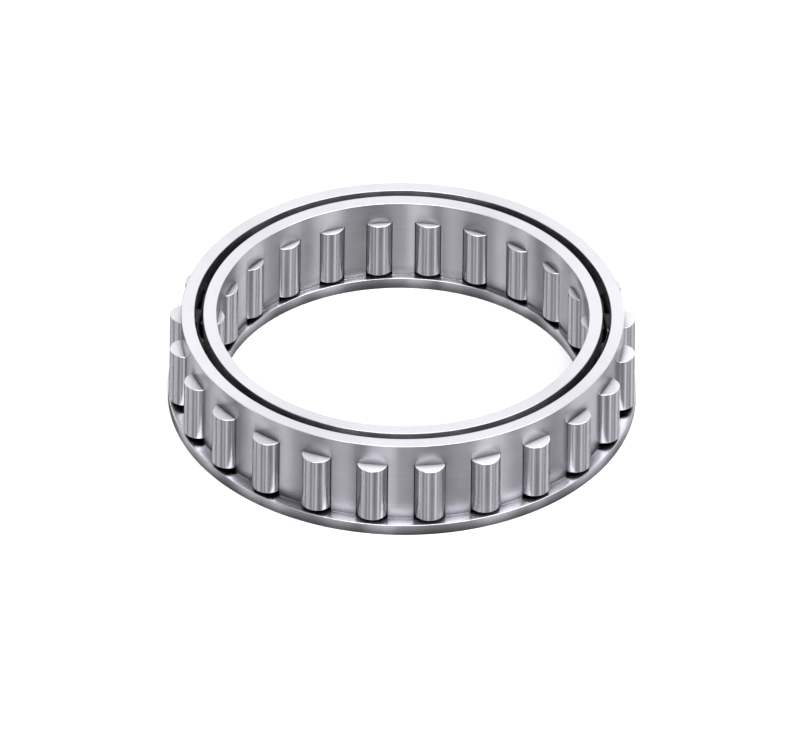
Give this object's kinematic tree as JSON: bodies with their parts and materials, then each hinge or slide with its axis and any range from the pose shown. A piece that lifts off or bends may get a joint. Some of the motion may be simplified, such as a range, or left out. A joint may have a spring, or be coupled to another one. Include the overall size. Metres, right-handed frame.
{
  "type": "double-cage sprag freewheel insert",
  "caption": "Flanged double-cage sprag insert that sits between a shaft and a housing bore and lets them turn past each other one way only.",
  "frame": {"origin": "centre of the plane that both flanges stand on", "axes": "+Z along the axis of rotation, from the flanged face towards the plain face"},
  "size_m": [0.0712, 0.0712, 0.0154],
  "materials": {
    "cage_steel": "bare turned steel with fine lines round the ring and lightly broken edges",
    "sprag_steel": "hardened steel with ground rounded heads, brighter than the cages",
    "spring_steel": "dark tempered strip"
  },
  "bodies": {
    "outer_cage": {"outer_cage": "cage_steel"},
    "inner_cage": {"inner_cage": "cage_steel"},
    "ribbon_spring": {"ribbon_spring": "spring_steel"},
    "sprag_01": {"sprag_01": "sprag_steel"},
    "sprag_02": {"sprag_02": "sprag_steel"},
    "sprag_03": {"sprag_03": "sprag_steel"},
    "sprag_04": {"sprag_04": "sprag_steel"},
    "sprag_05": {"sprag_05": "sprag_steel"},
    "sprag_06": {"sprag_06": "sprag_steel"},
    "sprag_07": {"sprag_07": "sprag_steel"},
    "sprag_08": {"sprag_08": "sprag_steel"},
    "sprag_09": {"sprag_09": "sprag_steel"},
    "sprag_10": {"sprag_10": "sprag_steel"},
    "sprag_11": {"sprag_11": "sprag_steel"},
    "sprag_12": {"sprag_12": "sprag_steel"},
    "sprag_13": {"sprag_13": "sprag_steel"},
    "sprag_14": {"sprag_14": "sprag_steel"},
    "sprag_15": {"sprag_15": "sprag_steel"},
    "sprag_16": {"sprag_16": "sprag_steel"},
    "sprag_17": {"sprag_17": "sprag_steel"},
    "sprag_18": {"sprag_18": "sprag_steel"},
    "sprag_19": {"sprag_19": "sprag_steel"},
    "sprag_20": {"sprag_20": "sprag_steel"},
    "sprag_21": {"sprag_21": "sprag_steel"},
    "sprag_22": {"sprag_22": "sprag_steel"},
    "sprag_23": {"sprag_23": "sprag_steel"},
    "sprag_24": {"sprag_24": "sprag_steel"}
  },
  "joints": [
    {"name": "inner_cage_turn", "type": "hinge", "parent": "outer_cage", "child": "inner_cage", "pos_m": [0, 0, 0.0077], "axis": [0, 0, 1], "range_deg": [-0.7, 0.7], "stiffness_Nm_per_rad": 0.05},
    {"name": "ribbon_spring_turn", "type": "hinge", "parent": "outer_cage", "child": "ribbon_spring", "pos_m": [0, 0, 0.0072], "axis": [0, 0, 1], "range_deg": [-0.5, 0.5]},
    {"name": "sprag_01_tilt", "type": "hinge", "parent": "outer_cage", "child": "sprag_01", "pos_m": [0.03308, 0.00435, 0.0072], "axis": [0, 0, 1], "range_deg": [-6, 6]},
    {"name": "sprag_02_tilt", "type": "hinge", "parent": "outer_cage", "child": "sprag_02", "pos_m": [0.03082, 0.01277, 0.0072], "axis": [0, 0, 1], "range_deg": [-6, 6]},
    {"name": "sprag_03_tilt", "type": "hinge", "parent": "outer_cage", "child": "sprag_03", "pos_m": [0.02647, 0.02031, 0.0072], "axis": [0, 0, 1], "range_deg": [-6, 6]},
    {"name": "sprag_04_tilt", "type": "hinge", "parent": "outer_cage", "child": "sprag_04", "pos_m": [0.02031, 0.02647, 0.0072], "axis": [0, 0, 1], "range_deg": [-6, 6]},
    {"name": "sprag_05_tilt", "type": "hinge", "parent": "outer_cage", "child": "sprag_05", "pos_m": [0.01277, 0.03082, 0.0072], "axis": [0, 0, 1], "range_deg": [-6, 6]},
    {"name": "sprag_06_tilt", "type": "hinge", "parent": "outer_cage", "child": "sprag_06", "pos_m": [0.00435, 0.03308, 0.0072], "axis": [0, 0, 1], "range_deg": [-6, 6]},
    {"name": "sprag_07_tilt", "type": "hinge", "parent": "outer_cage", "child": "sprag_07", "pos_m": [-0.00435, 0.03308, 0.0072], "axis": [0, 0, 1], "range_deg": [-6, 6]},
    {"name": "sprag_08_tilt", "type": "hinge", "parent": "outer_cage", "child": "sprag_08", "pos_m": [-0.01277, 0.03082, 0.0072], "axis": [0, 0, 1], "range_deg": [-6, 6]},
    {"name": "sprag_09_tilt", "type": "hinge", "parent": "outer_cage", "child": "sprag_09", "pos_m": [-0.02031, 0.02647, 0.0072], "axis": [0, 0, 1], "range_deg": [-6, 6]},
    {"name": "sprag_10_tilt", "type": "hinge", "parent": "outer_cage", "child": "sprag_10", "pos_m": [-0.02647, 0.02031, 0.0072], "axis": [0, 0, 1], "range_deg": [-6, 6]},
    {"name": "sprag_11_tilt", "type": "hinge", "parent": "outer_cage", "child": "sprag_11", "pos_m": [-0.03082, 0.01277, 0.0072], "axis": [0, 0, 1], "range_deg": [-6, 6]},
    {"name": "sprag_12_tilt", "type": "hinge", "parent": "outer_cage", "child": "sprag_12", "pos_m": [-0.03308, 0.00435, 0.0072], "axis": [0, 0, 1], "range_deg": [-6, 6]},
    {"name": "sprag_13_tilt", "type": "hinge", "parent": "outer_cage", "child": "sprag_13", "pos_m": [-0.03308, -0.00435, 0.0072], "axis": [0, 0, 1], "range_deg": [-6, 6]},
    {"name": "sprag_14_tilt", "type": "hinge", "parent": "outer_cage", "child": "sprag_14", "pos_m": [-0.03082, -0.01277, 0.0072], "axis": [0, 0, 1], "range_deg": [-6, 6]},
    {"name": "sprag_15_tilt", "type": "hinge", "parent": "outer_cage", "child": "sprag_15", "pos_m": [-0.02647, -0.02031, 0.0072], "axis": [0, 0, 1], "range_deg": [-6, 6]},
    {"name": "sprag_16_tilt", "type": "hinge", "parent": "outer_cage", "child": "sprag_16", "pos_m": [-0.02031, -0.02647, 0.0072], "axis": [0, 0, 1], "range_deg": [-6, 6]},
    {"name": "sprag_17_tilt", "type": "hinge", "parent": "outer_cage", "child": "sprag_17", "pos_m": [-0.01277, -0.03082, 0.0072], "axis": [0, 0, 1], "range_deg": [-6, 6]},
    {"name": "sprag_18_tilt", "type": "hinge", "parent": "outer_cage", "child": "sprag_18", "pos_m": [-0.00435, -0.03308, 0.0072], "axis": [0, 0, 1], "range_deg": [-6, 6]},
    {"name": "sprag_19_tilt", "type": "hinge", "parent": "outer_cage", "child": "sprag_19", "pos_m": [0.00435, -0.03308, 0.0072], "axis": [0, 0, 1], "range_deg": [-6, 6]},
    {"name": "sprag_20_tilt", "type": "hinge", "parent": "outer_cage", "child": "sprag_20", "pos_m": [0.01277, -0.03082, 0.0072], "axis": [0, 0, 1], "range_deg": [-6, 6]},
    {"name": "sprag_21_tilt", "type": "hinge", "parent": "outer_cage", "child": "sprag_21", "pos_m": [0.02031, -0.02647, 0.0072], "axis": [0, 0, 1], "range_deg": [-6, 6]},
    {"name": "sprag_22_tilt", "type": "hinge", "parent": "outer_cage", "child": "sprag_22", "pos_m": [0.02647, -0.02031, 0.0072], "axis": [0, 0, 1], "range_deg": [-6, 6]},
    {"name": "sprag_23_tilt", "type": "hinge", "parent": "outer_cage", "child": "sprag_23", "pos_m": [0.03082, -0.01277, 0.0072], "axis": [0, 0, 1], "range_deg": [-6, 6]},
    {"name": "sprag_24_tilt", "type": "hinge", "parent": "outer_cage", "child": "sprag_24", "pos_m": [0.03308, -0.00435, 0.0072], "axis": [0, 0, 1], "range_deg": [-6, 6]}
  ],
  "couplings": [
    {"joint": "ribbon_spring_turn", "follows": "inner_cage_turn", "ratio": 0.6029},
    {"joint": "sprag_01_tilt", "follows": "inner_cage_turn", "ratio": -8.1908},
    {"joint": "sprag_02_tilt", "follows": "inner_cage_turn", "ratio": -8.1908},
    {"joint": "sprag_03_tilt", "follows": "inner_cage_turn", "ratio": -8.1908},
    {"joint": "sprag_04_tilt", "follows": "inner_cage_turn", "ratio": -8.1908},
    {"joint": "sprag_05_tilt", "follows": "inner_cage_turn", "ratio": -8.1908},
    {"joint": "sprag_06_tilt", "follows": "inner_cage_turn", "ratio": -8.1908},
    {"joint": "sprag_07_tilt", "follows": "inner_cage_turn", "ratio": -8.1908},
    {"joint": "sprag_08_tilt", "follows": "inner_cage_turn", "ratio": -8.1908},
    {"joint": "sprag_09_tilt", "follows": "inner_cage_turn", "ratio": -8.1908},
    {"joint": "sprag_10_tilt", "follows": "inner_cage_turn", "ratio": -8.1908},
    {"joint": "sprag_11_tilt", "follows": "inner_cage_turn", "ratio": -8.1908},
    {"joint": "sprag_12_tilt", "follows": "inner_cage_turn", "ratio": -8.1908},
    {"joint": "sprag_13_tilt", "follows": "inner_cage_turn", "ratio": -8.1908},
    {"joint": "sprag_14_tilt", "follows": "inner_cage_turn", "ratio": -8.1908},
    {"joint": "sprag_15_tilt", "follows": "inner_cage_turn", "ratio": -8.1908},
    {"joint": "sprag_16_tilt", "follows": "inner_cage_turn", "ratio": -8.1908},
    {"joint": "sprag_17_tilt", "follows": "inner_cage_turn", "ratio": -8.1908},
    {"joint": "sprag_18_tilt", "follows": "inner_cage_turn", "ratio": -8.1908},
    {"joint": "sprag_19_tilt", "follows": "inner_cage_turn", "ratio": -8.1908},
    {"joint": "sprag_20_tilt", "follows": "inner_cage_turn", "ratio": -8.1908},
    {"joint": "sprag_21_tilt", "follows": "inner_cage_turn", "ratio": -8.1908},
    {"joint": "sprag_22_tilt", "follows": "inner_cage_turn", "ratio": -8.1908},
    {"joint": "sprag_23_tilt", "follows": "inner_cage_turn", "ratio": -8.1908},
    {"joint": "sprag_24_tilt", "follows": "inner_cage_turn", "ratio": -8.1908}
  ]
}
